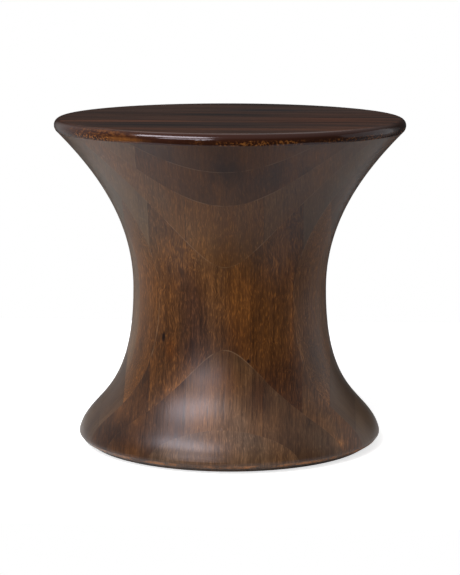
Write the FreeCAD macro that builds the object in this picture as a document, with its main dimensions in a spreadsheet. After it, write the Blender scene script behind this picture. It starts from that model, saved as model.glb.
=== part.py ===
import FreeCAD, Part
import math
import os

import Sketcher
from FreeCAD import Vector

# Driving dimensions, millimetres and degrees. Front is -Y, up is +Z, and the origin is on
# the floor under the middle of the stool.
SIZES = {
    # Whole stool
    "seat_height": 457.0,
    "pad_thickness": 2.0,
    "waist_radius": 135.4,
    "waist_height": 219.8,
    # Round top panel with a bullnose edge
    "top_radius": 244.0,
    "top_thickness": 16.0,
    "edge_round": 9.2,
    "lip_overhang": 2.2,
    "top_plank_count": 6,
    # Upper cove of the turned block, from the waist to the top panel
    "upper_lean": 44.3,
    "upper_waist_pull": 88.1,
    "upper_joint_pull": 88.4,
    # Lower cove, from the base's soft rim to the waist, with a narrow edge band and a bevel below
    "base_radius": 212.5,
    "rim_round": 8.0,
    "rim_height": 13.5,
    "arris_drop": 2.0,
    "bevel_height": 6.6,
    "bevel_inset": 4.0,
    "foot_inset": 14.3,
    "lower_lean": 15.0,
    "lower_waist_pull": 157.2,
    "lower_rim_pull": 48.2,
    # Boards glued face to face into the block
    "layer_thickness": 40.0,
    "base_outer_layer": 25.5,
    "base_side_layers": 2,
    "upper_side_layers": 3,
    "upper_face_layers": 3,
    "least_board": 4.0,
    "core_allowance": 6.6,
    "core_seam": 38.0,
    "front_half_width": 104.3,
    "front_seam": 34.0,
    "middle_half_width": 52.5,
    "outer_lap": 8.5,
    # Blind dowels between the block and the top panel
    "dowel_count": 4,
    "dowel_radius": 4.0,
    "dowel_ring": 165.0,
    "dowel_in_block": 20.0,
    "dowel_in_top": 9.0,
    "dowel_clearance": 0.1,
    "dowel_end_room": 0.5,
    # Felt pads under the base
    "pad_count": 4,
    "pad_radius": 20.0,
    "pad_ring": 165.0,
}

# Levels and lengths that several pieces share, written as formulas of the driving dimensions.
FLOOR_OF_BLOCK = "Sizes.pad_thickness"
WAIST_LEVEL = "Sizes.waist_height"
JOINT_LEVEL = "(Sizes.seat_height - Sizes.top_thickness)"
SEAT_LEVEL = "Sizes.seat_height"
JOINT_RADIUS = "(Sizes.top_radius - Sizes.lip_overhang)"
BASE_RADIUS = "Sizes.base_radius"
CORE_HALF_WIDTH = "(Sizes.waist_radius + Sizes.core_allowance)"
CORE_HALF_DEPTH = "(2.5 * Sizes.layer_thickness)"
FRONT_FACE = "(3.5 * Sizes.layer_thickness)"
CORE_LAYERS = 5

document = FreeCAD.newDocument("Stool")
sheet = document.addObject("Spreadsheet::Sheet", "Sizes")
nodes = []


def size(name):
    return SIZES[name]


def value(formula):
    """Number that a formula of the sheet's cells gives."""
    return sheet.evalExpression(formula)


def make_sheet():
    """Keep every driving dimension in a cell that has its name."""
    for row, (name, number) in enumerate(SIZES.items(), start=1):
        sheet.set(f"A{row}", name)
        sheet.set(f"B{row}", str(number))
        sheet.setAlias(f"B{row}", name)
    document.recompute()


def origin_plane(body, role):
    return next(plane for plane in body.Origin.OriginFeatures if plane.Role == role)


def new_sketch(body, name, role):
    sketch = body.newObject("Sketcher::SketchObject", name)
    sketch.AttachmentSupport = [(origin_plane(body, role), "")]
    sketch.MapMode = "FlatFace"
    return sketch


def bind(sketch, name, formula, *constraint):
    """Add one constraint with a name, and drive it by a formula of the sheet's cells."""
    index = sketch.addConstraint(Sketcher.Constraint(*constraint))
    sketch.renameConstraint(index, name)
    sketch.setExpression(f"Constraints.{name}", formula)


def join(sketch, *ends):
    """Make pairs of (curve, end) meet in one point; end 1 is a start, 2 an end, 3 a centre."""
    for first, second in ends:
        sketch.addConstraint(Sketcher.Constraint("Coincident", *first, *second))


def polar(length, degrees):
    angle = math.radians(degrees)
    return Vector(length * math.cos(angle), length * math.sin(angle), 0)


def segment(start, end):
    return Part.LineSegment(start, end)


def arc(centre, radius, low, high):
    circle = Part.Circle(centre, Vector(0, 0, 1), radius)
    return Part.ArcOfCircle(circle, math.radians(low), math.radians(high))


def cubic(poles):
    curve = Part.BSplineCurve()
    curve.buildFromPolesMultsKnots(poles, [4, 4], [0.0, 1.0], False, 3)
    return curve


def pull_handles(sketch, curve, first_handle, last_handle):
    """Tie a cubic's two inner poles to the far ends of its two handles."""
    first_new = len(sketch.Geometry)
    sketch.exposeInternalGeometry(curve)
    join(sketch, ((first_new + 1, 3), (first_handle, 2)), ((first_new + 2, 3), (last_handle, 2)))


def block_profile(sketch):
    """Half section of the block: flat foot, bevel, edge band, rim, two coves, flat upper face."""
    foot_level = size("pad_thickness")
    rim_centre = Vector(size("base_radius") - size("rim_round"), foot_level + size("rim_height"), 0)
    arris_angle = -math.degrees(math.asin(size("arris_drop") / size("rim_round")))
    rim_angle = size("lower_lean")
    foot = Vector(size("base_radius") - size("foot_inset"), foot_level, 0)
    bevel_top = Vector(size("base_radius") - size("bevel_inset"), foot_level + size("bevel_height"), 0)
    arris = rim_centre + polar(size("rim_round"), arris_angle)
    rim_end = rim_centre + polar(size("rim_round"), rim_angle)
    waist = Vector(size("waist_radius"), size("waist_height"), 0)
    joint_level = size("seat_height") - size("top_thickness")
    joint = Vector(size("top_radius") - size("lip_overhang"), joint_level, 0)

    rim_pole = rim_end + polar(size("lower_rim_pull"), rim_angle + 90)
    waist_low_pole = waist - Vector(0, size("lower_waist_pull"), 0)
    waist_high_pole = waist + Vector(0, size("upper_waist_pull"), 0)
    joint_pole = joint - polar(size("upper_joint_pull"), 90 - size("upper_lean"))
    axis_low = Vector(0, foot_level, 0)
    axis_high = Vector(0, joint_level, 0)

    under = sketch.addGeometry(segment(axis_low, foot))
    bevel = sketch.addGeometry(segment(foot, bevel_top))
    edge_band = sketch.addGeometry(segment(bevel_top, arris))
    rim = sketch.addGeometry(arc(rim_centre, size("rim_round"), arris_angle, rim_angle))
    lower_cove = sketch.addGeometry(cubic([rim_end, rim_pole, waist_low_pole, waist]))
    upper_cove = sketch.addGeometry(cubic([waist, waist_high_pole, joint_pole, joint]))
    upper_face = sketch.addGeometry(segment(joint, axis_high))
    axis = sketch.addGeometry(segment(axis_high, axis_low))
    rim_handle = sketch.addGeometry(segment(rim_end, rim_pole), True)
    waist_low_handle = sketch.addGeometry(segment(waist, waist_low_pole), True)
    waist_high_handle = sketch.addGeometry(segment(waist, waist_high_pole), True)
    joint_handle = sketch.addGeometry(segment(joint, joint_pole), True)

    join(
        sketch,
        ((under, 2), (bevel, 1)),
        ((bevel, 2), (edge_band, 1)),
        ((edge_band, 2), (rim, 1)),
        ((rim, 2), (lower_cove, 1)),
        ((lower_cove, 2), (upper_cove, 1)),
        ((upper_cove, 2), (upper_face, 1)),
        ((upper_face, 2), (axis, 1)),
        ((axis, 2), (under, 1)),
        ((waist_low_handle, 1), (lower_cove, 2)),
        ((waist_high_handle, 1), (lower_cove, 2)),
        ((joint_handle, 1), (upper_cove, 2)),
    )
    pull_handles(sketch, lower_cove, rim_handle, waist_low_handle)
    pull_handles(sketch, upper_cove, waist_high_handle, joint_handle)

    for line in (under, upper_face):
        sketch.addConstraint(Sketcher.Constraint("Horizontal", line))
    for line in (waist_low_handle, waist_high_handle):
        sketch.addConstraint(Sketcher.Constraint("Vertical", line))
    sketch.addConstraint(Sketcher.Constraint("PointOnObject", axis, 1, -2))
    sketch.addConstraint(Sketcher.Constraint("PointOnObject", axis, 2, -2))
    sketch.addConstraint(Sketcher.Constraint("Tangent", rim, 2, rim_handle, 1))

    rim_level = "Sizes.pad_thickness + Sizes.rim_height"
    bevel_level = "Sizes.pad_thickness + Sizes.bevel_height"
    bind(sketch, "foot_level", FLOOR_OF_BLOCK, "DistanceY", -1, 1, under, 2, foot.y)
    bind(sketch, "foot", "Sizes.base_radius - Sizes.foot_inset", "DistanceX", -1, 1, under, 2, foot.x)
    bind(sketch, "bevel_level", bevel_level, "DistanceY", -1, 1, bevel, 2, bevel_top.y)
    bind(
        sketch, "bevel", "Sizes.base_radius - Sizes.bevel_inset",
        "DistanceX", -1, 1, bevel, 2, bevel_top.x,
    )
    bind(
        sketch, "arris", f"{rim_level} - Sizes.arris_drop",
        "DistanceY", -1, 1, edge_band, 2, arris.y,
    )
    bind(sketch, "rim", "Sizes.rim_round", "Radius", rim, size("rim_round"))
    bind(sketch, "rim_level", rim_level, "DistanceY", -1, 1, rim, 3, rim_centre.y)
    bind(
        sketch, "rim_centre", "Sizes.base_radius - Sizes.rim_round",
        "DistanceX", -1, 1, rim, 3, rim_centre.x,
    )
    bind(
        sketch, "rim_lean", "(90 + Sizes.lower_lean) * 1 deg",
        "Angle", -1, 1, rim_handle, 1, math.radians(90 + size("lower_lean")),
    )
    bind(sketch, "rim_pull", "Sizes.lower_rim_pull", "Distance", rim_handle, size("lower_rim_pull"))
    bind(sketch, "waist", "Sizes.waist_radius", "DistanceX", -1, 1, lower_cove, 2, waist.x)
    bind(sketch, "waist_level", WAIST_LEVEL, "DistanceY", -1, 1, lower_cove, 2, waist.y)
    bind(
        sketch, "waist_low", "Sizes.lower_waist_pull",
        "Distance", waist_low_handle, size("lower_waist_pull"),
    )
    bind(
        sketch, "waist_high", "Sizes.upper_waist_pull",
        "Distance", waist_high_handle, size("upper_waist_pull"),
    )
    bind(sketch, "joint", JOINT_RADIUS, "DistanceX", -1, 1, upper_cove, 2, joint.x)
    bind(sketch, "joint_level", JOINT_LEVEL, "DistanceY", -1, 1, upper_cove, 2, joint.y)
    bind(
        sketch, "joint_lean", "(270 - Sizes.upper_lean) * 1 deg",
        "Angle", -1, 1, joint_handle, 1, math.radians(270 - size("upper_lean")),
    )
    bind(
        sketch, "joint_pull", "Sizes.upper_joint_pull",
        "Distance", joint_handle, size("upper_joint_pull"),
    )


def top_profile(sketch):
    """Half section of the top panel: flat underside, bullnose edge, flat seat."""
    joint_level = size("seat_height") - size("top_thickness")
    joint = Vector(size("top_radius") - size("lip_overhang"), joint_level, 0)
    widest = Vector(size("top_radius"), size("seat_height") - size("edge_round"), 0)
    round_centre = widest - Vector(size("edge_round"), 0, 0)
    rise = widest.y - joint.y
    run = widest.x - joint.x
    tuck_radius = (rise * rise + run * run) / (2 * run)
    tuck_centre = widest - Vector(tuck_radius, 0, 0)
    tuck_angle = -math.degrees(math.asin(rise / tuck_radius))
    axis_low = Vector(0, joint_level, 0)
    axis_high = Vector(0, size("seat_height"), 0)
    seat_edge = round_centre + Vector(0, size("edge_round"), 0)

    under = sketch.addGeometry(segment(axis_low, joint))
    tuck = sketch.addGeometry(arc(tuck_centre, tuck_radius, tuck_angle, 0))
    nose = sketch.addGeometry(arc(round_centre, size("edge_round"), 0, 90))
    seat = sketch.addGeometry(segment(seat_edge, axis_high))
    axis = sketch.addGeometry(segment(axis_high, axis_low))

    join(
        sketch,
        ((under, 2), (tuck, 1)),
        ((seat, 2), (axis, 1)),
        ((axis, 2), (under, 1)),
    )
    sketch.addConstraint(Sketcher.Constraint("Tangent", tuck, 2, nose, 1))
    sketch.addConstraint(Sketcher.Constraint("Tangent", nose, 2, seat, 1))
    sketch.addConstraint(Sketcher.Constraint("Horizontal", nose, 3, nose, 1))
    for line in (under, seat):
        sketch.addConstraint(Sketcher.Constraint("Horizontal", line))
    sketch.addConstraint(Sketcher.Constraint("PointOnObject", axis, 1, -2))
    sketch.addConstraint(Sketcher.Constraint("PointOnObject", axis, 2, -2))
    bind(sketch, "joint", JOINT_RADIUS, "DistanceX", -1, 1, under, 2, joint.x)
    bind(sketch, "joint_level", JOINT_LEVEL, "DistanceY", -1, 1, under, 2, joint.y)
    bind(sketch, "nose", "Sizes.edge_round", "Radius", nose, size("edge_round"))
    bind(
        sketch, "nose_centre", "Sizes.top_radius - Sizes.edge_round",
        "DistanceX", -1, 1, nose, 3, round_centre.x,
    )
    bind(
        sketch, "nose_level", "Sizes.seat_height - Sizes.edge_round",
        "DistanceY", -1, 1, nose, 3, round_centre.y,
    )


def turned(name, draw_profile, hole_depth, upward):
    """Turn a half section about the upright axis and drill the ring of dowel holes."""
    body = document.addObject("PartDesign::Body", name)
    profile = new_sketch(body, f"{name}_profile", "XZ_Plane")
    draw_profile(profile)
    revolution = body.newObject("PartDesign::Revolution", f"{name}_turning")
    revolution.Profile = profile
    revolution.ReferenceAxis = (profile, ["V_Axis"])
    revolution.Angle = 360
    document.recompute()
    solid_volume = revolution.Shape.Volume

    hole_sketch = new_sketch(body, f"{name}_dowel_hole", "XY_Plane")
    hole_sketch.setExpression("AttachmentOffset.Base.z", JOINT_LEVEL)
    hole_sketch.setExpression("AttachmentOffset.Rotation.Angle", "180 deg / Sizes.dowel_count")
    hole_radius = size("dowel_radius") + size("dowel_clearance")
    centre = Vector(size("dowel_ring"), 0, 0)
    hole = hole_sketch.addGeometry(Part.Circle(centre, Vector(0, 0, 1), hole_radius))
    hole_sketch.addConstraint(Sketcher.Constraint("PointOnObject", hole, 3, -1))
    bind(hole_sketch, "ring", "Sizes.dowel_ring", "DistanceX", -1, 1, hole, 3, centre.x)
    bind(
        hole_sketch, "hole", "Sizes.dowel_radius + Sizes.dowel_clearance",
        "Radius", hole, hole_radius,
    )
    pocket = body.newObject("PartDesign::Pocket", f"{name}_pocket")
    pocket.Profile = hole_sketch
    pocket.Reversed = upward
    pocket.setExpression("Length", f"{hole_depth} + Sizes.dowel_end_room")
    document.recompute()

    pattern = body.newObject("PartDesign::PolarPattern", f"{name}_dowel_holes")
    pattern.Originals = [pocket]
    pattern.Axis = (hole_sketch, ["N_Axis"])
    pattern.Angle = 360
    pattern.setExpression("Occurrences", "Sizes.dowel_count")
    body.Tip = pattern
    document.recompute()
    if not body.Shape.Volume < solid_volume - 1:
        raise RuntimeError(f"{name}: the dowel holes cut nothing")
    return body


def board(label, blank, across, depth, level):
    """Cut one board out of a turned blank: the part of it inside a box of the given spans."""
    box = document.addObject("Part::Box", f"{label}_blank")
    spans = (("Length", "x", across), ("Width", "y", depth), ("Height", "z", level))
    for edge, axis, (low, high) in spans:
        box.setExpression(edge, f"({high}) - ({low})")
        box.setExpression(f"Placement.Base.{axis}", low)
    piece = document.addObject("Part::Common", label)
    piece.Base = box
    piece.Tool = blank
    piece.Label = label
    nodes.append(piece)


def side_span(sign, near, far):
    """Span from near to far on the plus or minus side of the middle."""
    if sign > 0:
        return (near, far)
    return (f"-({far})", f"-({near})")


def even_planes(start, reach, count):
    """Glue planes that fill the space from start to reach with layers of one thickness."""
    inner = [f"{start} + {step} * ({reach} - {start}) / Sizes.{count}" for step in range(size(count))]
    return inner + [reach]


def between(edges):
    return list(zip(edges[:-1], edges[1:]))


def seams_inside(seams, face_sign, plane, reach):
    """Upright seams, left to right, that fall inside the round at a layer's inner glue plane."""
    chord = math.sqrt(value(reach) ** 2 - value(plane) ** 2)
    formulas = [f"{-face_sign * sign} * {distance}" for sign, distance in seams]
    inside = [formula for formula in formulas if abs(value(formula)) < chord - size("least_board")]
    return sorted(inside, key=value)


def core_boards(block):
    """Five full-height layers through the waist, two boards each, with staggered seams."""
    full = (FLOOR_OF_BLOCK, JOINT_LEVEL)
    for layer in range(CORE_LAYERS):
        depth = tuple(f"{step - CORE_LAYERS / 2} * Sizes.layer_thickness" for step in (layer, layer + 1))
        stagger = 1 if layer % 2 == 0 else -1
        seam = f"{stagger} * Sizes.core_seam"
        board(f"core_layer{layer + 1}_left", block, (f"-{CORE_HALF_WIDTH}", seam), depth, full)
        board(f"core_layer{layer + 1}_right", block, (seam, CORE_HALF_WIDTH), depth, full)


def face_boards(block):
    """Full-height boards on the front and back of the core, two each."""
    full = (FLOOR_OF_BLOCK, JOINT_LEVEL)
    for face, sign in (("front", -1), ("back", 1)):
        depth = side_span(sign, CORE_HALF_DEPTH, FRONT_FACE)
        seam = f"{-sign} * Sizes.front_seam"
        board(f"{face}_board_left", block, ("-Sizes.front_half_width", seam), depth, full)
        board(f"{face}_board_right", block, (seam, "Sizes.front_half_width"), depth, full)


def flare_boards(block, name, level, reach, side_planes, face_planes, face_seams):
    """Short boards that fill the flare of the base or of the upper end, all round the core."""
    core_depth = (f"-{CORE_HALF_DEPTH}", CORE_HALF_DEPTH)
    for side, sign in (("left", -1), ("right", 1)):
        for number, (near, far) in enumerate(between(side_planes), start=1):
            board(f"{name}_{side}_layer{number}", block, side_span(sign, near, far), core_depth, level)

    for face, face_sign in (("front", -1), ("back", 1)):
        corner_depth = side_span(face_sign, CORE_HALF_DEPTH, FRONT_FACE)
        for side, sign in (("left", -1), ("right", 1)):
            across = side_span(sign, "Sizes.front_half_width", reach)
            board(f"{name}_corner_{face}_{side}", block, across, corner_depth, level)
        for number, (near, far) in enumerate(between(face_planes), start=1):
            depth = side_span(face_sign, near, far)
            seams = seams_inside(face_seams.get(number, []), face_sign, near, reach)
            edges = [f"-{reach}", *seams, reach]
            for piece, across in enumerate(between(edges), start=1):
                board(f"{name}_{face}_layer{number}_board{piece}", block, across, depth, level)


def top_planks(panel):
    """Planks of the top panel, grain from left to right, numbered from the front."""
    across = ("(-Sizes.top_radius)", "Sizes.top_radius")
    edges = even_planes(*across, "top_plank_count")
    for number, depth in enumerate(between(edges), start=1):
        board(f"top_plank_{number}", panel, across, depth, (JOINT_LEVEL, SEAT_LEVEL))


def ring_of_discs(label, count, ring, radius, bottom, height):
    """Equal upright cylinders spaced round a ring, half a step off +X, kept together as one set."""
    discs = []
    for index in range(size(count)):
        disc = document.addObject("Part::Cylinder", f"{label}_{index + 1}")
        angle = f"({index} + 0.5) * 360 deg / Sizes.{count}"
        disc.setExpression("Radius", f"Sizes.{radius}")
        disc.setExpression("Height", height)
        disc.setExpression("Placement.Base.x", f"Sizes.{ring} * cos({angle})")
        disc.setExpression("Placement.Base.y", f"Sizes.{ring} * sin({angle})")
        disc.setExpression("Placement.Base.z", bottom)
        discs.append(disc)
    ring_set = document.addObject("Part::Compound", label)
    ring_set.Links = discs
    ring_set.Label = label
    nodes.append(ring_set)


def check_document():
    document.recompute()
    for item in document.Objects:
        if "Invalid" in item.State or "Error" in item.State:
            raise RuntimeError(f"{item.Label}: {item.State}")
    for node in nodes:
        if node.Shape.isNull() or not node.Shape.isValid() or not node.Shape.Solids:
            raise RuntimeError(f"{node.Label}: no valid solid")


def write_parts():
    os.makedirs("parts", exist_ok=True)
    for node in nodes:
        node.Shape.exportStep(f"parts/{node.Label}.step")


make_sheet()
block = turned("turned_block", block_profile, "Sizes.dowel_in_block", upward=False)
panel = turned("top_panel", top_profile, "Sizes.dowel_in_top", upward=True)

core_boards(block)
face_boards(block)
three_boards = [(-1, "Sizes.middle_half_width"), (1, "Sizes.middle_half_width")]
upper_planes = even_planes(FRONT_FACE, JOINT_RADIUS, "upper_face_layers")
outer_chord = f"sqrt({JOINT_RADIUS} ^ 2 - ({upper_planes[-2]}) ^ 2)"
two_boards = [(-1, f"({outer_chord} - Sizes.outer_lap)")]
flare_boards(
    block, "base", (FLOOR_OF_BLOCK, WAIST_LEVEL), BASE_RADIUS,
    even_planes(CORE_HALF_WIDTH, BASE_RADIUS, "base_side_layers"),
    [FRONT_FACE, f"{BASE_RADIUS} - Sizes.base_outer_layer", BASE_RADIUS],
    {1: three_boards},
)
flare_boards(
    block, "upper", (WAIST_LEVEL, JOINT_LEVEL), JOINT_RADIUS,
    even_planes(CORE_HALF_WIDTH, JOINT_RADIUS, "upper_side_layers"),
    upper_planes,
    {1: three_boards, 2: two_boards},
)
top_planks(panel)
ring_of_discs(
    "dowels", "dowel_count", "dowel_ring", "dowel_radius",
    f"{JOINT_LEVEL} - Sizes.dowel_in_block", "Sizes.dowel_in_block + Sizes.dowel_in_top",
)
ring_of_discs("felt_pads", "pad_count", "pad_ring", "pad_radius", "0", "Sizes.pad_thickness")

check_document()
write_parts()
print(f"{len(nodes)} pieces, {sum(node.Shape.Volume for node in nodes) / 1e6:.3f} litres")
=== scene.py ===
import math
import random
from typing import NamedTuple

import bpy
from mathutils import Euler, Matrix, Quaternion, Vector


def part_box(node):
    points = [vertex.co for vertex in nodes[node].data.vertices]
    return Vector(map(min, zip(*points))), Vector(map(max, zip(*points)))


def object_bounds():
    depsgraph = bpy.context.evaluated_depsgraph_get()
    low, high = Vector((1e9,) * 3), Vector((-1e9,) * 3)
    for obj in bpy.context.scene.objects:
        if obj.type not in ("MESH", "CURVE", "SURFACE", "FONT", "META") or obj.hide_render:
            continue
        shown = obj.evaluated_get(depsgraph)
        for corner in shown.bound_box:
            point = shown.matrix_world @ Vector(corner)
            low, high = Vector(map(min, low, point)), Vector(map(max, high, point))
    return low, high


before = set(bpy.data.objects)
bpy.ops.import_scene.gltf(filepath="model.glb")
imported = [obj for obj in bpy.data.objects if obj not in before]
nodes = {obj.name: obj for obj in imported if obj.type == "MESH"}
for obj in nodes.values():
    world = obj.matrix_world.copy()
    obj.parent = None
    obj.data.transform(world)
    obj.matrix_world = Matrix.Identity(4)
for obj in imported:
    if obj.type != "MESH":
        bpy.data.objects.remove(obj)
cad_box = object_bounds()
boxes = {name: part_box(name) for name in nodes}

# Camera of the photograph, fitted to the stool's outline (metres; millimetres for lens and sensor)
CAMERA_DISTANCE = 2.9267
CAMERA_HEIGHT = 0.7151
CAMERA_TURN = math.radians(2.6)
CAMERA_YAW = math.radians(-0.008)
CAMERA_PITCH = math.radians(9.657)
CAMERA_ROLL = math.radians(0.12)
CAMERA_LENS = 132.08
CAMERA_SENSOR = 36.0

# Pale floor, which keeps the shadow and glows a little where the camera sees it
FLOOR_HALF_WIDTH = 0.6
FLOOR_FRONT = -0.45
FLOOR_BACK = 0.9
FLOOR_COLOUR = (0.8, 0.8, 0.8, 1.0)
FLOOR_GLOW = 0.70

# Dim room that lights the wood and shows in its sheen: levels, and where each starts and is full
ROOM_AT_HORIZON = 0.015
ROOM_AT_FRONT_SIDES = 0.08
ROOM_AT_BACK_SIDES = 0.48
ROOM_OVERHEAD = 0.45
ROOM_RIGHT_SHARE = 0.6
OVERHEAD_RANGE = (0.2, 0.85)
LEFT_RANGE = (-0.24, -0.64)
RIGHT_RANGE = (0.45, 0.8)
FRONT_TO_BACK_RANGE = (-0.3, 0.4)

# Share of the white ground and backdrop that the wood's reflections see
GLOSSY_SHARE = 0.02


class Softbox(NamedTuple):
    """Rectangular lamp that faces the stool, in degrees, metres and watts.

    The azimuth runs from the front to the right.
    """

    azimuth: float
    elevation: float
    distance: float
    width: float
    height: float
    power: float


AIM = Vector((0.0, 0.0, 0.22))
SOFTBOXES = {
    "key_softbox": Softbox(-39.0, 46.0, 2.1, 1.45, 0.62, 47.0),
    "front_softbox": Softbox(-25.0, 21.0, 2.8, 1.6, 0.5, 26.0),
    "back_softbox": Softbox(180.0, 60.0, 2.2, 1.6, 1.0, 3.2),
    "side_softbox": Softbox(105.0, 12.0, 3.2, 3.0, 2.4, 12.0),
}

# Stained wood, linear colours: deep stain, orange heartwood and grey brown
STAIN = (0.022, 0.009, 0.004, 1.0)
WARM = (0.160, 0.058, 0.012, 1.0)
GREY = (0.118, 0.070, 0.038, 1.0)
TOP_STAIN = (0.016, 0.008, 0.006, 1.0)
TOP_WARM = (0.084, 0.030, 0.014, 1.0)
TOP_GREY = (0.055, 0.033, 0.026, 1.0)

# Tint of the dark bands in the top, and of the lacquer's sheen
TOP_BAND_TINT = (0.30, 0.40, 0.65, 1.0)
SHEEN_TINT = (0.98, 0.90, 1.0, 1.0)

# Rubbed edges, glue lines, and the hidden dowels and felt
BARE = (0.300, 0.120, 0.036, 1.0)
LIP_DARK = (0.026, 0.008, 0.004, 1.0)
LIP_BARE = (0.260, 0.095, 0.022, 1.0)
SEAM_DARK = (0.016, 0.009, 0.006, 1.0)
SEAM_LIGHT = (0.200, 0.120, 0.070, 1.0)
DOWEL_DARK = (0.420, 0.280, 0.150, 1.0)
DOWEL_LIGHT = (0.640, 0.480, 0.310, 1.0)
FELT_DARK = (0.045, 0.038, 0.034, 1.0)
FELT_LIGHT = (0.110, 0.095, 0.086, 1.0)

# Worn edge band of the base: levels, how far it fades below, inside and above them, and weights
BAND_LOW = 0.0086
BAND_HIGH = 0.0115
BAND_FADE_BELOW = 0.0010
BAND_FADE_INSIDE = 0.0008
BAND_FADE_ABOVE = 0.0025
BAND_WEIGHT = 0.85
# Painted shade: below the band the bevel is darkened towards the stain colour, as the rim's underside is
# in shadow
BEVEL_FADE = 0.0015
BEVEL_SHADE_WEIGHT = 0.5

# Round of the top's edge, and level of the bare specks on it (metres)
EDGE_ROUND = 0.0092
SPECKLE_LEVEL = 0.4475
SPECKLE_FADE = 0.0015

# Lacquer: the top is smoother than the block by the polish, and its lip is smoothest
LACQUER_IOR = 1.38
BLOCK_ROUGHNESS = 0.34
TOP_POLISH = 0.14
LIP_ROUGHNESS = 0.14
GRAIN_BUMP = 0.35
BLOCK_RELIEF = 0.0004
TOP_RELIEF = 0.00015

# Width of a growth ring (metres), and weight of the broad streaks on upright boards and on the top
RING_WIDTH = 0.0085
BOARD_BROAD = 0.60
TOP_BROAD = 2.6

# Share of the streaks' rate that is left in the direction in which they run through a sloping board
DEPTH_SHARE = 0.08

# Glue lines: joints are found within a tolerance, and a face without a joint gets a plane far away
SEAM_MATCH = 0.0002
FAR_AWAY = 9.0
SEAM_HALF_WIDTH = 0.0003
SEAM_SOFT_EDGE = 0.0010
EDGE_JOINT_WEIGHT = 0.55
FACE_JOINT_WEIGHT = 0.40

# Low on the base the stain fills the light glue lines; they show in full above the upper level
SEAM_FADE_LOW = 0.100
SEAM_FADE_HIGH = 0.130
SEAM_LEFT_OVER = 0.15


class Trait(NamedTuple):
    """Look of a board: dark (tone below 0) or light, grey (warmth 0) or orange (1), curly, streaky."""

    tone: float
    warmth: float
    figure: float
    streak: float


# Boards in view from the front; the others draw their look at random
TRAITS = {
    "front_board_left": Trait(0.18, 0.90, 0.9, 0.8),
    "front_board_right": Trait(0.08, 1.00, 0.9, 0.8),
    "core_layer1_left": Trait(0.35, 0.80, 0.8, 0.8),
    "core_layer1_right": Trait(0.62, 0.75, 0.8, 0.8),
    "core_layer2_left": Trait(0.85, 0.25, 0.7, 0.8),
    "core_layer2_right": Trait(1.00, 0.60, 0.8, 0.8),
    "base_front_layer1_board1": Trait(-0.50, 0.85, 0.40, 1.0),
    "base_front_layer1_board2": Trait(0.10, 0.50, 0.40, 1.1),
    "base_front_layer1_board3": Trait(-0.26, 0.35, 0.40, 0.8),
    "base_front_layer2_board1": Trait(0.02, 0.30, 0.60, 0.9),
    "base_corner_front_left": Trait(-0.55, 1.00, 0.5, 0.7),
    "base_corner_front_right": Trait(0.04, 0.68, 0.6, 1.0),
    "base_left_layer1": Trait(-0.45, 0.10, 0.1, 0.6),
    "base_left_layer2": Trait(-0.35, -0.30, 0.2, 0.6),
    "base_right_layer1": Trait(0.00, 0.10, 0.1, 0.5),
    "base_right_layer2": Trait(0.40, -0.10, 0.1, 0.5),
    "upper_left_layer1": Trait(0.60, 0.00, 0.3, 0.5),
    "upper_left_layer2": Trait(0.60, 0.00, 0.3, 0.5),
    "upper_corner_front_left": Trait(0.74, 0.20, 0.3, 0.5),
    "upper_corner_front_right": Trait(0.36, 0.20, 0.3, 0.5),
    "upper_front_layer1_board1": Trait(0.65, 0.70, 0.5, 0.6),
    "upper_front_layer1_board2": Trait(0.57, 0.90, 0.6, 0.5),
    "upper_front_layer1_board3": Trait(0.36, 0.60, 0.4, 0.5),
    "upper_front_layer2_board1": Trait(0.85, 0.35, 0.4, 0.5),
    "upper_front_layer2_board2": Trait(-0.24, 1.00, 0.4, 0.5),
    "upper_front_layer3_board1": Trait(-0.30, 0.90, 0.3, 0.4),
    "top_plank_1": Trait(0.45, 0.95, 0.3, 1.0),
    "top_plank_2": Trait(0.15, 0.70, 0.3, 1.0),
    "top_plank_3": Trait(0.20, 0.75, 0.3, 1.0),
    "top_plank_4": Trait(-0.10, 0.80, 0.3, 1.0),
    "top_plank_5": Trait(0.05, 0.60, 0.3, 1.0),
    "top_plank_6": Trait(-0.35, 0.50, 0.3, 1.0),
}


class Mark(NamedTuple):
    """Patch that tints the wood: half sizes across, deep and up, leaning to the right by degrees.

    The tint is full out to the core's share of the half sizes, and its edge is ragged. A mark that names
    boards shows only on those.
    """

    centre: tuple
    radii: tuple
    lean: float
    tint: tuple
    core: float
    ragged: float
    boards: tuple = ()


KNOT_TINT = (0.12, 0.12, 0.15, 1.0)
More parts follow.
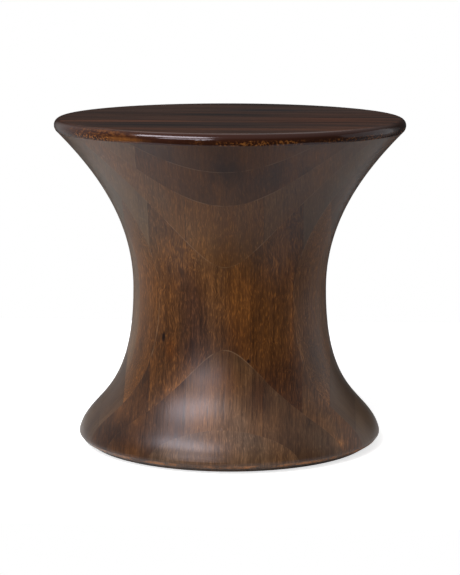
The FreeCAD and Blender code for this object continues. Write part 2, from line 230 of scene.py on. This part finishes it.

# Knots, stains and light flecks that the photograph shows on the front of the block
# Four patches below hold painted sheen and painted shade, as their names say
MARKS = {
    "dark streak through the waist": Mark(
        (-0.042, -0.130, 0.197), (0.028, 0.070, 0.095), -10.0, (0.50, 0.49, 0.70, 1.0), 0.2, 0.6),
    "dull stain beside the base": Mark(
        (-0.128, -0.085, 0.116), (0.034, 0.050, 0.062), 0.0, (0.70, 0.68, 0.52, 1.0), 0.1, 0.9),
    "orange patch under the almond knot": Mark(
        (-0.076, -0.118, 0.152), (0.013, 0.050, 0.020), 0.0, (1.55, 1.35, 1.00, 1.0), 0.0, 0.9),
    "light strip at the right of the waist": Mark(
        (0.089, -0.104, 0.205), (0.0034, 0.050, 0.090), 0.0, (2.00, 1.85, 1.55, 1.0), 0.3, 0.6),
    "blue stain under the lip": Mark(
        (0.005, -0.209, 0.403), (0.036, 0.060, 0.028), 20.0, (0.44, 0.50, 0.68, 1.0), 0.1, 0.9),
    "blue stain right of the middle": Mark(
        (0.061, -0.189, 0.392), (0.022, 0.060, 0.022), -20.0, (0.72, 0.80, 0.98, 1.0), 0.0, 0.9),
    "uneven stain low on the left": Mark(
        (-0.085, -0.122, 0.145), (0.050, 0.060, 0.080), 0.0, (0.62, 0.62, 0.66, 1.0), 0.2, 0.6),
    "uneven stain low on the right": Mark(
        (0.080, -0.130, 0.100), (0.050, 0.060, 0.068), 0.0, (0.54, 0.50, 0.52, 1.0), 0.3, 0.6,
        ("front_board_right",)),
    "darker middle above the arch": Mark(
        (0.005, -0.137, 0.165), (0.060, 0.050, 0.055), 0.0, (0.70, 0.66, 0.62, 1.0), 0.1, 0.6),
    "darker upright band right of the middle": Mark(
        (0.042, -0.145, 0.300), (0.030, 0.060, 0.050), 0.0, (0.76, 0.80, 0.84, 1.0), 0.0, 0.6),
    # Partly a darker stain, partly painted shade: deepened, most in blue, to hold back the reflection of
    # the side lamp
    "darker stain and painted shade right of the arch": Mark(
        (0.124, -0.084, 0.136), (0.032, 0.042, 0.075), 0.0, (0.46, 0.47, 0.36, 1.0), 0.1, 0.6),
    "light patch under the lip at the right": Mark(
        (0.115, -0.195, 0.422), (0.040, 0.050, 0.020), 0.0, (1.55, 1.50, 1.45, 1.0), 0.0, 0.9),
    "dark foot at the left": Mark(
        (-0.135, -0.147, 0.038), (0.042, 0.050, 0.028), 0.0, (0.52, 0.50, 0.54, 1.0), 0.2, 0.6),
    "olive cast above the waist": Mark(
        (-0.040, -0.150, 0.330), (0.220, 0.300, 0.090), 0.0, (0.80, 0.87, 0.85, 1.0), 0.3, 0.3),
    "deeper stain around the waist": Mark(
        (-0.025, -0.130, 0.188), (0.170, 0.300, 0.112), 0.0, (0.83, 0.80, 0.70, 1.0), 0.3, 0.3),
    "dark line on the base arch": Mark(
        (-0.054, -0.160, 0.072), (0.0028, 0.060, 0.034), 0.0, (0.45, 0.62, 0.85, 1.0), 0.1, 0.6),
    "light end of the corner board": Mark(
        (0.155, -0.136, 0.028), (0.018, 0.020, 0.009), 0.0, (1.70, 1.60, 1.40, 1.0), 0.1, 0.9),
    "dark stain on the arch at the right": Mark(
        (0.050, -0.150, 0.098), (0.026, 0.050, 0.042), 0.0, (0.54, 0.47, 0.46, 1.0), 0.1, 0.6),
    # Painted sheen: a lighter, bluer patch where the lacquer's sheen falls on the left of the arch
    "painted sheen on the left side of the arch": Mark(
        (-0.062, -0.147, 0.095), (0.018, 0.050, 0.020), 0.0, (1.60, 1.65, 1.80, 1.0), 0.0, 0.8),
    "light grain left of the waist": Mark(
        (-0.083, -0.119, 0.286), (0.014, 0.050, 0.030), 0.0, (1.50, 1.45, 1.30, 1.0), 0.0, 0.8),
    "dark stain left of the arch": Mark(
        (-0.050, -0.135, 0.148), (0.022, 0.050, 0.036), 0.0, (0.64, 0.64, 0.78, 1.0), 0.1, 0.6),
    # Partly darker wood, partly painted shade that dims the sheen band above the rim
    "darker wood and painted shade above the rim at the left": Mark(
        (-0.075, -0.186, 0.041), (0.060, 0.050, 0.012), 0.0, (0.68, 0.66, 0.66, 1.0), 0.2, 0.4),
    "warmer head of the base arch": Mark(
        (0.000, -0.150, 0.114), (0.055, 0.050, 0.030), 0.0, (0.94, 0.80, 0.56, 1.0), 0.2, 0.5,
        ("base_front_layer1_board1", "base_front_layer1_board2", "base_front_layer1_board3")),
    # Partly a cooler stain, partly painted lilac sheen: it lightens and blues the wood where the
    # lacquer's sheen falls
    "cooler stain and painted sheen low on the base arch": Mark(
        (0.010, -0.182, 0.056), (0.090, 0.060, 0.032), 0.0, (1.12, 1.20, 1.45, 1.0), 0.2, 0.5),
    "dark lower end of the left front board": Mark(
        (-0.097, -0.140, 0.088), (0.024, 0.040, 0.024), 0.0, (0.62, 0.64, 0.70, 1.0), 0.1, 0.7,
        ("front_board_left",)),
    "almond knot": Mark((-0.085, -0.109, 0.166), (0.0026, 0.030, 0.0078), 4.0, KNOT_TINT, 0.5, 0.3),
    "small knot": Mark((0.0314, -0.139, 0.140), (0.0026, 0.030, 0.0034), 0.0, KNOT_TINT, 0.5, 0.3),
    "light fleck under the lip": Mark(
        (-0.115, -0.201, 0.432), (0.0016, 0.040, 0.0115), 0.0, (1.90, 2.05, 2.20, 1.0), 0.2, 0.5),
}

# Dark and light streaks that the photograph shows on the top
SEAT_LEVEL = cad_box[1].z
TOP_MARKS = {
    "dark streak at the left": Mark(
        (-0.095, -0.122, SEAT_LEVEL), (0.150, 0.024, 0.030), 0.0, (0.24, 0.36, 0.62, 1.0), 0.1, 1.0),
    "light streak at the left": Mark(
        (-0.130, -0.066, SEAT_LEVEL), (0.130, 0.024, 0.030), 0.0, (1.90, 1.60, 1.30, 1.0), 0.1, 0.5),
    "dark streak behind the middle": Mark(
        (-0.030, 0.042, SEAT_LEVEL), (0.120, 0.022, 0.030), 0.0, (0.24, 0.38, 0.64, 1.0), 0.1, 1.1),
    "dark streak at the back right": Mark(
        (0.055, 0.115, SEAT_LEVEL), (0.110, 0.024, 0.030), 0.0, (0.26, 0.40, 0.66, 1.0), 0.1, 1.1),
    "red patch at the front right": Mark(
        (0.120, -0.050, SEAT_LEVEL), (0.120, 0.110, 0.030), 0.0, (1.25, 1.00, 0.80, 1.0), 0.2, 0.5),
}

# Parts of the lip where the stain is rubbed thin, and how far it is
NO_TINT = (1.0, 1.0, 1.0, 1.0)
WORN_LIP = Mark((-0.165, -0.180, 0.452), (0.085, 0.085, 0.005), 0.0, NO_TINT, 0.2, 0.8)
WORN_LIP_WEIGHT = 0.34
WORN_UNDER_LIP = Mark((-0.128, -0.205, 0.445), (0.045, 0.040, 0.005), 0.0, NO_TINT, 0.2, 0.9)
WORN_UNDER_LIP_WEIGHT = 0.40


class Wiring:
    """Adds shader nodes to one tree. Each call returns an output socket of the new node."""

    def __init__(self, tree):
        self.tree = tree

    def feed(self, socket, given):
        if isinstance(given, bpy.types.NodeSocket):
            self.tree.links.new(given, socket)
        else:
            socket.default_value = given

    def add(self, kind, inputs=None, output=0, **settings):
        node = self.tree.nodes.new(f"ShaderNode{kind}")
        for name, setting in settings.items():
            setattr(node, name, setting)
        for key, given in (inputs or {}).items():
            self.feed(node.inputs[key], given)
        return node.outputs[output]

    def math(self, operation, *operands, clamp=False):
        return self.add("Math", dict(enumerate(operands)), operation=operation, use_clamp=clamp)

    def vector(self, operation, *operands, output=0):
        return self.add("VectorMath", dict(enumerate(operands)), output, operation=operation)

    def split(self, vector):
        node = self.tree.nodes.new("ShaderNodeSeparateXYZ")
        self.feed(node.inputs[0], vector)
        return node.outputs

    def stretch(self, vector, across, along):
        """Coordinates for a texture with this many repeats a metre across and along the grain."""
        return self.vector("MULTIPLY", vector, (across, across, along))

    def noise(self, vector, detail=2.0, roughness=0.5, output="Fac"):
        inputs = {"Vector": vector, "Scale": 1.0, "Detail": detail, "Roughness": roughness}
        return self.add("TexNoise", inputs, output)

    def ramp(self, value, low, high, to_low=0.0, to_high=1.0):
        inputs = {0: value, 1: low, 2: high, 3: to_low, 4: to_high}
        return self.add("MapRange", inputs, interpolation_type="SMOOTHSTEP")

    def mix(self, factor, first, second):
        return self.add("Mix", {0: factor, 6: first, 7: second}, 2, data_type="RGBA")

    def tint(self, factor, first, second):
        inputs = {0: factor, 6: first, 7: second}
        return self.add("Mix", inputs, 2, data_type="RGBA", blend_type="MULTIPLY")

    def product(self, first, *others):
        for other in others:
            first = self.math("MULTIPLY", first, other)
        return first

    def sum(self, first, *others):
        for other in others:
            first = self.math("ADD", first, other)
        return first

    def swing(self, value, weight):
        """A 0 to 1 value as a swing of plus or minus half the weight."""
        return self.math("MULTIPLY", self.math("SUBTRACT", value, 0.5), weight)


def group_sockets(tree, direction, sockets):
    """Inputs or outputs of a node group, each a name and a kind."""
    for name, kind in sockets:
        tree.interface.new_socket(name, in_out=direction, socket_type=f"NodeSocket{kind}")


def wood_group():
    """Solid stained wood, grain along local Z: faint rings, streaks, curly flecks and uneven stain."""
    tree = bpy.data.node_groups.new("stained_wood", "ShaderNodeTree")
    group_sockets(tree, "INPUT", (
        ("Grain", "Vector"), ("Pith", "Vector"), ("Seed", "Vector"), ("Cut", "Vector"),
        ("Tone", "Float"), ("Warmth", "Float"), ("Figure", "Float"), ("Streak", "Float"),
        ("Broad", "Float"),
        ("Stain", "Color"), ("Warm", "Color"), ("Grey", "Color"),
    ))
    group_sockets(tree, "OUTPUT", (("Colour", "Color"), ("Roughness", "Float"), ("Height", "Float")))
    w = Wiring(tree)
    given = tree.nodes.new("NodeGroupInput").outputs
    result = tree.nodes.new("NodeGroupOutput").inputs
    own = w.vector("ADD", given["Grain"], given["Seed"])
    sawn = w.vector("MULTIPLY", own, given["Cut"])

    # Growth rings, bent by slow and quick waves
    offset = w.vector("SUBTRACT", given["Grain"], given["Pith"])
    from_pith = w.vector("MULTIPLY", offset, (1.0, 1.0, 0.0))
    radius = w.vector("LENGTH", from_pith, output="Value")
    slow = w.swing(w.noise(w.stretch(own, 7.0, 2.2), 2.0), 0.055)
    quick = w.swing(w.noise(w.stretch(own, 32.0, 6.0), 2.0), 0.007)
    ring = w.math("FRACT", w.math("DIVIDE", w.sum(radius, slow, quick), RING_WIDTH))
    late = w.product(w.ramp(ring, 0.25, 0.88), w.ramp(ring, 1.0, 0.9), given["Figure"])

    # Slow changes of tone and hue: stain clouds and broad streaks along the grain
    cloud = w.noise(w.stretch(own, 11.0, 5.0), 4.0, 0.55)
    broad = w.noise(w.stretch(sawn, 45.0, 2.5), 2.0, 0.6)
    drift = w.noise(w.stretch(own, 20.0, 4.0), 2.0)
    tone = w.sum(
        w.math("MULTIPLY_ADD", given["Tone"], 0.5, 0.5),
        w.swing(cloud, 0.80),
        w.product(w.swing(broad, 1.0), given["Broad"]),
        w.math("MULTIPLY", late, -0.08),
    )
    hue = w.math("ADD", given["Warmth"], w.swing(drift, 1.2), clamp=True)
    light = w.mix(hue, given["Grey"], given["Warm"])
    colour = w.mix(w.math("ADD", tone, 0.0, clamp=True), given["Stain"], light)

    # Fine streaks, and a curly figure of short fibres on waves
    fibre = w.noise(w.stretch(sawn, 190.0, 6.5), 3.0, 0.6)
    hair = w.noise(w.stretch(sawn, 460.0, 14.0), 2.0, 0.6)
    ripple = w.noise(w.stretch(own, 22.0, 40.0), 1.0, output="Color")
    wave = w.vector("SUBTRACT", ripple, (0.5, 0.5, 0.5))
    waved = w.vector("ADD", sawn, w.vector("MULTIPLY", wave, (0.010, 0.010, 0.0)))
    dash = w.noise(w.stretch(waved, 760.0, 95.0), 1.0, 0.5)
    streaks = w.sum(w.swing(fibre, 0.60), w.swing(hair, 1.60))
    fleck = w.math("MULTIPLY_ADD", w.ramp(dash, 0.50, 0.80), 1.1, -0.12)
    curl = w.math("ADD", w.swing(dash, 1.2), fleck)
    grain = w.sum(1.0, w.product(streaks, given["Streak"]), w.product(curl, given["Figure"]))
    shade = w.math("MAXIMUM", grain, 0.15)
    colour = w.add("VectorMath", {0: colour, "Scale": shade}, operation="SCALE")
    w.feed(result["Colour"], colour)

    roughness = w.sum(BLOCK_ROUGHNESS, w.swing(cloud, 0.10), w.swing(hair, 0.14))
    w.feed(result["Roughness"], roughness)
    height = w.sum(
        w.math("MULTIPLY", fibre, 0.5),
        w.math("MULTIPLY", hair, 0.5),
        w.math("MULTIPLY", dash, 0.2),
    )
    w.feed(result["Height"], height)
    return tree


def seam_planes(name):
    """Faces of a board's box where another board starts; faces on the turned surface go far away."""
    low, high = boxes[name]
    others = [box for other, box in boxes.items() if other != name]
    low_planes = Vector((-FAR_AWAY,) * 3)
    high_planes = Vector((FAR_AWAY,) * 3)
    for axis in range(2):
        if any(abs(box[1][axis] - low[axis]) < SEAM_MATCH for box in others):
            low_planes[axis] = low[axis]
        if any(abs(box[0][axis] - high[axis]) < SEAM_MATCH for box in others):
            high_planes[axis] = high[axis]
    return low_planes, high_planes


def glue_lines(w, place, name):
    """0 to 1 masks of the thin, broken glue lines on a board's edge joints and on its face joints."""
    normal = w.split(w.add("NewGeometry", output="Normal"))
    breaks = w.ramp(w.noise(w.stretch(place, 38.0, 38.0), 3.0), 0.40, 0.60)
    low_planes, high_planes = seam_planes(name)
    coordinates = w.split(place)
    masks = []
    for axis in range(2):
        low_gap = w.math("ABSOLUTE", w.math("SUBTRACT", coordinates[axis], low_planes[axis]))
        high_gap = w.math("ABSOLUTE", w.math("SUBTRACT", coordinates[axis], high_planes[axis]))
        facing = w.math("MULTIPLY", normal[axis], normal[axis])
        slope = w.math("SQRT", w.math("SUBTRACT", 1.0, facing, clamp=True))
        along_surface = w.math("DIVIDE", w.math("MINIMUM", low_gap, high_gap), slope)
        line = w.ramp(along_surface, SEAM_SOFT_EDGE, SEAM_HALF_WIDTH)
        masks.append(w.product(line, breaks))
    return masks


def mark_mask(w, place, mark, fibres):
    """0 to 1 mask of a leaning ellipsoid with a soft edge that is ragged along the fibres."""
    offset = w.vector("SUBTRACT", place, mark.centre)
    upright = w.add(
        "VectorRotate", {"Vector": offset, "Angle": -math.radians(mark.lean)}, rotation_type="Y_AXIS")
    reach = w.vector("LENGTH", w.vector("DIVIDE", upright, mark.radii), output="Value")
    ragged = w.swing(w.noise(w.stretch(fibres, 110.0, 22.0), 3.0, 0.6), mark.ragged)
    return w.ramp(w.math("ADD", reach, ragged), 1.1, mark.core)


def touches(mark, name):
    """Whether a mark may show on a board."""
    if mark.boards and name not in mark.boards:
        return False
    low, high = boxes[name]
    reach = max(mark.radii)
    return all(low[axis] - reach < mark.centre[axis] < high[axis] + reach for axis in range(3))


def new_material(name):
    """New material, with a wiring for its nodes and its shader."""
    material = bpy.data.materials.new(name)
    material.use_nodes = True
    tree = material.node_tree
    return material, Wiring(tree), tree.nodes["Principled BSDF"]


def sawn_scale(name):
    """Streaks run through the depth of front and back boards, and through the width of side boards."""
    if "front" in name or "back" in name:
        return (1.0, DEPTH_SHARE, 1.0)
    if name.startswith(("base", "upper")):
        return (DEPTH_SHARE, 1.0, 1.0)
    return (1.0, 1.0, 1.0)


def wood_values(name, across):
    """Values of one board for the wood group: its pith, its own noise, its cut and its trait."""
    draw = random.Random(name)
    angle = draw.uniform(0.0, 2.0 * math.pi)
    reach = draw.uniform(0.05, 0.14)
    pith = across + Vector((math.cos(angle), math.sin(angle), 0.0)) * reach
    seed = [draw.uniform(-3.0, 3.0) for _ in range(3)]
    drawn = Trait(
        tone=draw.uniform(-0.15, 0.15),
        warmth=draw.uniform(0.3, 0.75),
        figure=draw.uniform(0.3, 0.9),
        streak=draw.uniform(0.5, 1.2),
    )
    trait = TRAITS.get(name, drawn)
    return {
        "Pith": tuple(pith), "Seed": tuple(seed), "Cut": sawn_scale(name), "Broad": BOARD_BROAD,
        "Tone": trait.tone, "Warmth": trait.warmth, "Figure": trait.figure, "Streak": trait.streak,
    }


def add_wood(w, group, values, grain, palette):
    """Wood group with one board's values, along the given grain; returns its outputs."""
    node = w.tree.nodes.new("ShaderNodeGroup")
    node.node_tree = group
    stain, warm, grey = palette
    inputs = {**values, "Grain": grain, "Stain": stain, "Warm": warm, "Grey": grey}
    for key, given in inputs.items():
        w.feed(node.inputs[key], given)
    return node.outputs


def finish_wood(w, shader, colour, roughness, height, relief):
    """Joins colour, roughness and grain relief to the shader, under a clear lacquer."""
    w.feed(shader.inputs["Base Color"], colour)
    w.feed(shader.inputs["Roughness"], roughness)
    bump = w.add("Bump", {"Strength": GRAIN_BUMP, "Distance": relief, "Height": height})
    w.feed(shader.inputs["Normal"], bump)
    shader.inputs["IOR"].default_value = LACQUER_IOR
    shader.inputs["Specular Tint"].default_value = SHEEN_TINT


def block_board(name, group):
    """Upright board of the block: its wood, glue lines, marks, the rubbed edge of the base, and painted
    shade on the bevel under it.
    """
    material, w, shader = new_material(f"wood_{name}")
    low, high = boxes[name]
    middle = (low + high) / 2
    place = w.add("TexCoord", output="Object")
    level = w.split(place)[2]
    values = wood_values(name, Vector((middle.x, middle.y, 0.0)))
    wood = add_wood(w, group, values, place, (STAIN, WARM, GREY))
    colour = wood["Colour"]

    for mark in MARKS.values():
        if touches(mark, name):
            colour = w.tint(mark_mask(w, place, mark, place), colour, mark.tint)

    edge_joint, face_joint = glue_lines(w, place, name)
    colour = w.mix(w.math("MULTIPLY", edge_joint, EDGE_JOINT_WEIGHT), colour, SEAM_DARK)
    shown = w.ramp(level, SEAM_FADE_LOW, SEAM_FADE_HIGH, SEAM_LEFT_OVER, 1.0)
    colour = w.mix(w.product(face_joint, shown, FACE_JOINT_WEIGHT), colour, SEAM_LIGHT)

    if low.z < BAND_LOW:
        rubbed = w.ramp(w.noise(w.stretch(place, 45.0, 45.0), 4.0, 0.65), 0.42, 0.62)
        above = w.ramp(level, BAND_LOW - BAND_FADE_BELOW, BAND_LOW + BAND_FADE_INSIDE)
        below = w.ramp(level, BAND_HIGH + BAND_FADE_ABOVE, BAND_HIGH)
        band = w.product(above, below, rubbed)
        colour = w.mix(w.math("MULTIPLY", band, BAND_WEIGHT), colour, BARE)
        # Painted shade: the bevel under the band turns towards the stain colour, where the underside of
        # the rim is in shadow
        bevel = w.ramp(level, BAND_LOW, BAND_LOW - BEVEL_FADE, 0.0, BEVEL_SHADE_WEIGHT)
        colour = w.mix(bevel, colour, STAIN)

    finish_wood(w, shader, colour, wood["Roughness"], wood["Height"], BLOCK_RELIEF)
    return material


def top_plank(name, group):
    """Plank of the top, grain from left to right, with dark bands and a lip that is rubbed in places."""
    material, w, shader = new_material(f"wood_{name}")
    low, high = boxes[name]
    middle = (low + high) / 2
    place = w.add("TexCoord", output="Object")
    parts = w.split(place)
    grain = w.add("CombineXYZ", {0: parts[1], 1: parts[2], 2: parts[0]})
    values = wood_values(name, Vector((middle.y, middle.z, 0.0)))
    values["Broad"] = TOP_BROAD
    wood = add_wood(w, group, values, grain, (TOP_STAIN, TOP_WARM, TOP_GREY))

    own = w.vector("ADD", grain, values["Seed"])
    dark_band = w.ramp(w.noise(w.stretch(own, 15.0, 2.0), 3.0, 0.6), 0.52, 0.64, 0.0, 0.7)
    face_colour = w.tint(dark_band, wood["Colour"], TOP_BAND_TINT)
    for mark in TOP_MARKS.values():
        if touches(mark, name):
            face_colour = w.tint(mark_mask(w, place, mark, grain), face_colour, mark.tint)

    top_radius = cad_box[1].x
    radius = w.vector("LENGTH", w.vector("MULTIPLY", place, (1.0, 1.0, 0.0)), output="Value")
    lip = w.ramp(radius, top_radius - EDGE_ROUND, top_radius - EDGE_ROUND / 3)
    speckle = w.ramp(w.noise(w.stretch(place, 330.0, 330.0), 3.0, 0.65), 0.48, 0.64)
    patch = w.ramp(w.noise(w.stretch(place, 16.0, 16.0), 3.0), 0.40, 0.60)
    low_side = w.ramp(parts[2], SPECKLE_LEVEL + SPECKLE_FADE, SPECKLE_LEVEL - SPECKLE_FADE)
    blotch = w.ramp(w.noise(w.stretch(place, 120.0, 300.0), 3.0, 0.6), 0.44, 0.62)
    worn_lip = w.product(mark_mask(w, place, WORN_LIP, place), blotch, WORN_LIP_WEIGHT)
    worn_under = w.product(mark_mask(w, place, WORN_UNDER_LIP, place), WORN_UNDER_LIP_WEIGHT)
    worn = w.math("MAXIMUM", worn_lip, worn_under)
    bare = w.math("MAXIMUM", w.product(speckle, patch, low_side), worn)
    lip_colour = w.mix(bare, LIP_DARK, LIP_BARE)
    colour = w.mix(lip, face_colour, lip_colour)

    face_roughness = w.math("SUBTRACT", wood["Roughness"], TOP_POLISH)
    roughness = w.add("Mix", {0: lip, 2: face_roughness, 3: LIP_ROUGHNESS}, 0)
    finish_wood(w, shader, colour, roughness, wood["Height"], TOP_RELIEF)
    return material


def dowel_wood():
    """Bare pale dowel, grain upright."""
    material, w, shader = new_material("dowel_wood")
    place = w.add("TexCoord", output="Object")
    fibre = w.noise(w.stretch(place, 900.0, 40.0), 3.0, 0.6)
    w.feed(shader.inputs["Base Color"], w.mix(w.ramp(fibre, 0.3, 0.7), DOWEL_DARK, DOWEL_LIGHT))
    shader.inputs["Roughness"].default_value = 0.7
    return material


def felt():
    """Dense dark felt: tangled fibres in colour and bump, with a soft sheen."""
    material, w, shader = new_material("felt")
    place = w.add("TexCoord", output="Object")
    tangle = w.noise(w.stretch(place, 1400.0, 1400.0), 4.0, 0.7)
    w.feed(shader.inputs["Base Color"], w.mix(w.ramp(tangle, 0.3, 0.7), FELT_DARK, FELT_LIGHT))
    bump = w.add("Bump", {"Strength": 0.6, "Distance": 0.0004, "Height": tangle})
    w.feed(shader.inputs["Normal"], bump)
    shader.inputs["Roughness"].default_value = 1.0
    shader.inputs["Sheen Weight"].default_value = 0.3
    return material


def dress(name, material):
    """Gives a node its one material."""
    slots = nodes[name].data.materials
    slots.clear()
    slots.append(material)


def background_rays(w):
    """1 for rays that show the white backdrop as it is, and a small share for the wood's reflections."""
    path = w.tree.nodes.new("ShaderNodeLightPath").outputs
    seen = w.math("ADD", path["Is Camera Ray"], path["Is Transmission Ray"], clamp=True)
    return w.math("MULTIPLY_ADD", path["Is Glossy Ray"], GLOSSY_SHARE, seen, clamp=True)


def add_floor():
    """Pale floor that is white to the camera and takes the shadow."""
    corners = [
        (-FLOOR_HALF_WIDTH, FLOOR_FRONT, 0.0), (FLOOR_HALF_WIDTH, FLOOR_FRONT, 0.0),
        (FLOOR_HALF_WIDTH, FLOOR_BACK, 0.0), (-FLOOR_HALF_WIDTH, FLOOR_BACK, 0.0),
    ]
    mesh = bpy.data.meshes.new("floor")
    mesh.from_pydata(corners, [], [(0, 1, 2, 3)])
    floor = bpy.data.objects.new("floor", mesh)
    bpy.context.scene.collection.objects.link(floor)
    material, w, shader = new_material("pale_floor")
    shader.inputs["Base Color"].default_value = FLOOR_COLOUR
    shader.inputs["Roughness"].default_value = 0.9
    shader.inputs["Specular IOR Level"].default_value = 0.0
    shader.inputs["Emission Color"].default_value = (1.0, 1.0, 1.0, 1.0)
    w.feed(shader.inputs["Emission Strength"], w.math("MULTIPLY", background_rays(w), FLOOR_GLOW))
    mesh.materials.append(material)


def add_world():
    """White to the camera; to the wood, a dim room, lighter overhead and at the sides to the back."""
    world = bpy.data.worlds.new("studio")
    world.use_nodes = True
    bpy.context.scene.world = world
    w = Wiring(world.node_tree)
    background = world.node_tree.nodes["Background"]
    direction = w.split(w.add("TexCoord", output="Generated"))
    overhead = w.ramp(direction[2], *OVERHEAD_RANGE, ROOM_AT_HORIZON, ROOM_OVERHEAD)
    to_left = w.ramp(direction[0], *LEFT_RANGE)
    to_right = w.ramp(direction[0], *RIGHT_RANGE, 0.0, ROOM_RIGHT_SHARE)
    sideways = w.math("MAXIMUM", to_left, to_right)
    walls = w.ramp(direction[1], *FRONT_TO_BACK_RANGE, ROOM_AT_FRONT_SIDES, ROOM_AT_BACK_SIDES)
    room = w.math("MAXIMUM", overhead, w.math("MULTIPLY", sideways, walls))
    strength = w.add("Mix", {0: background_rays(w), 2: room, 3: 1.0}, 0)
    background.inputs["Color"].default_value = (1.0, 1.0, 1.0, 1.0)
    w.feed(background.inputs["Strength"], strength)


def add_lamp(name, softbox):
    """Softbox that the camera doesn't see."""
    data = bpy.data.lights.new(name, "AREA")
    data.shape = "RECTANGLE"
    data.size = softbox.width
    data.size_y = softbox.height
    data.energy = softbox.power
    turn = math.radians(softbox.azimuth)
    rise = math.radians(softbox.elevation)
    away = Vector((math.sin(turn) * math.cos(rise), -math.cos(turn) * math.cos(rise), math.sin(rise)))
    lamp = bpy.data.objects.new(name, data)
    lamp.location = AIM + away * softbox.distance
    lamp.rotation_euler = away.to_track_quat("Z", "Y").to_euler()
    lamp.visible_camera = False
    bpy.context.scene.collection.objects.link(lamp)


def add_camera():
    """Camera where the photograph was taken from."""
    data = bpy.data.cameras.new("camera")
    data.lens = CAMERA_LENS
    data.sensor_width = CAMERA_SENSOR
    camera = bpy.data.objects.new("camera", data)
    camera.location = (
        CAMERA_DISTANCE * math.sin(CAMERA_TURN),
        -CAMERA_DISTANCE * math.cos(CAMERA_TURN),
        CAMERA_HEIGHT,
    )
    level_look = Euler((math.pi / 2 - CAMERA_PITCH, 0.0, CAMERA_TURN + CAMERA_YAW)).to_quaternion()
    camera.rotation_euler = (level_look @ Quaternion((0.0, 0.0, 1.0), CAMERA_ROLL)).to_euler()
    bpy.context.scene.collection.objects.link(camera)
    bpy.context.scene.camera = camera


stained_wood = wood_group()
for node_name in nodes:
    if node_name == "dowels":
        dress(node_name, dowel_wood())
    elif node_name == "felt_pads":
        dress(node_name, felt())
    elif node_name.startswith("top_plank"):
        dress(node_name, top_plank(node_name, stained_wood))
    else:
        dress(node_name, block_board(node_name, stained_wood))

add_floor()
add_world()
for lamp_name, lamp_values in SOFTBOXES.items():
    add_lamp(lamp_name, lamp_values)
add_camera()
bpy.context.scene.view_settings.view_transform = "Standard"
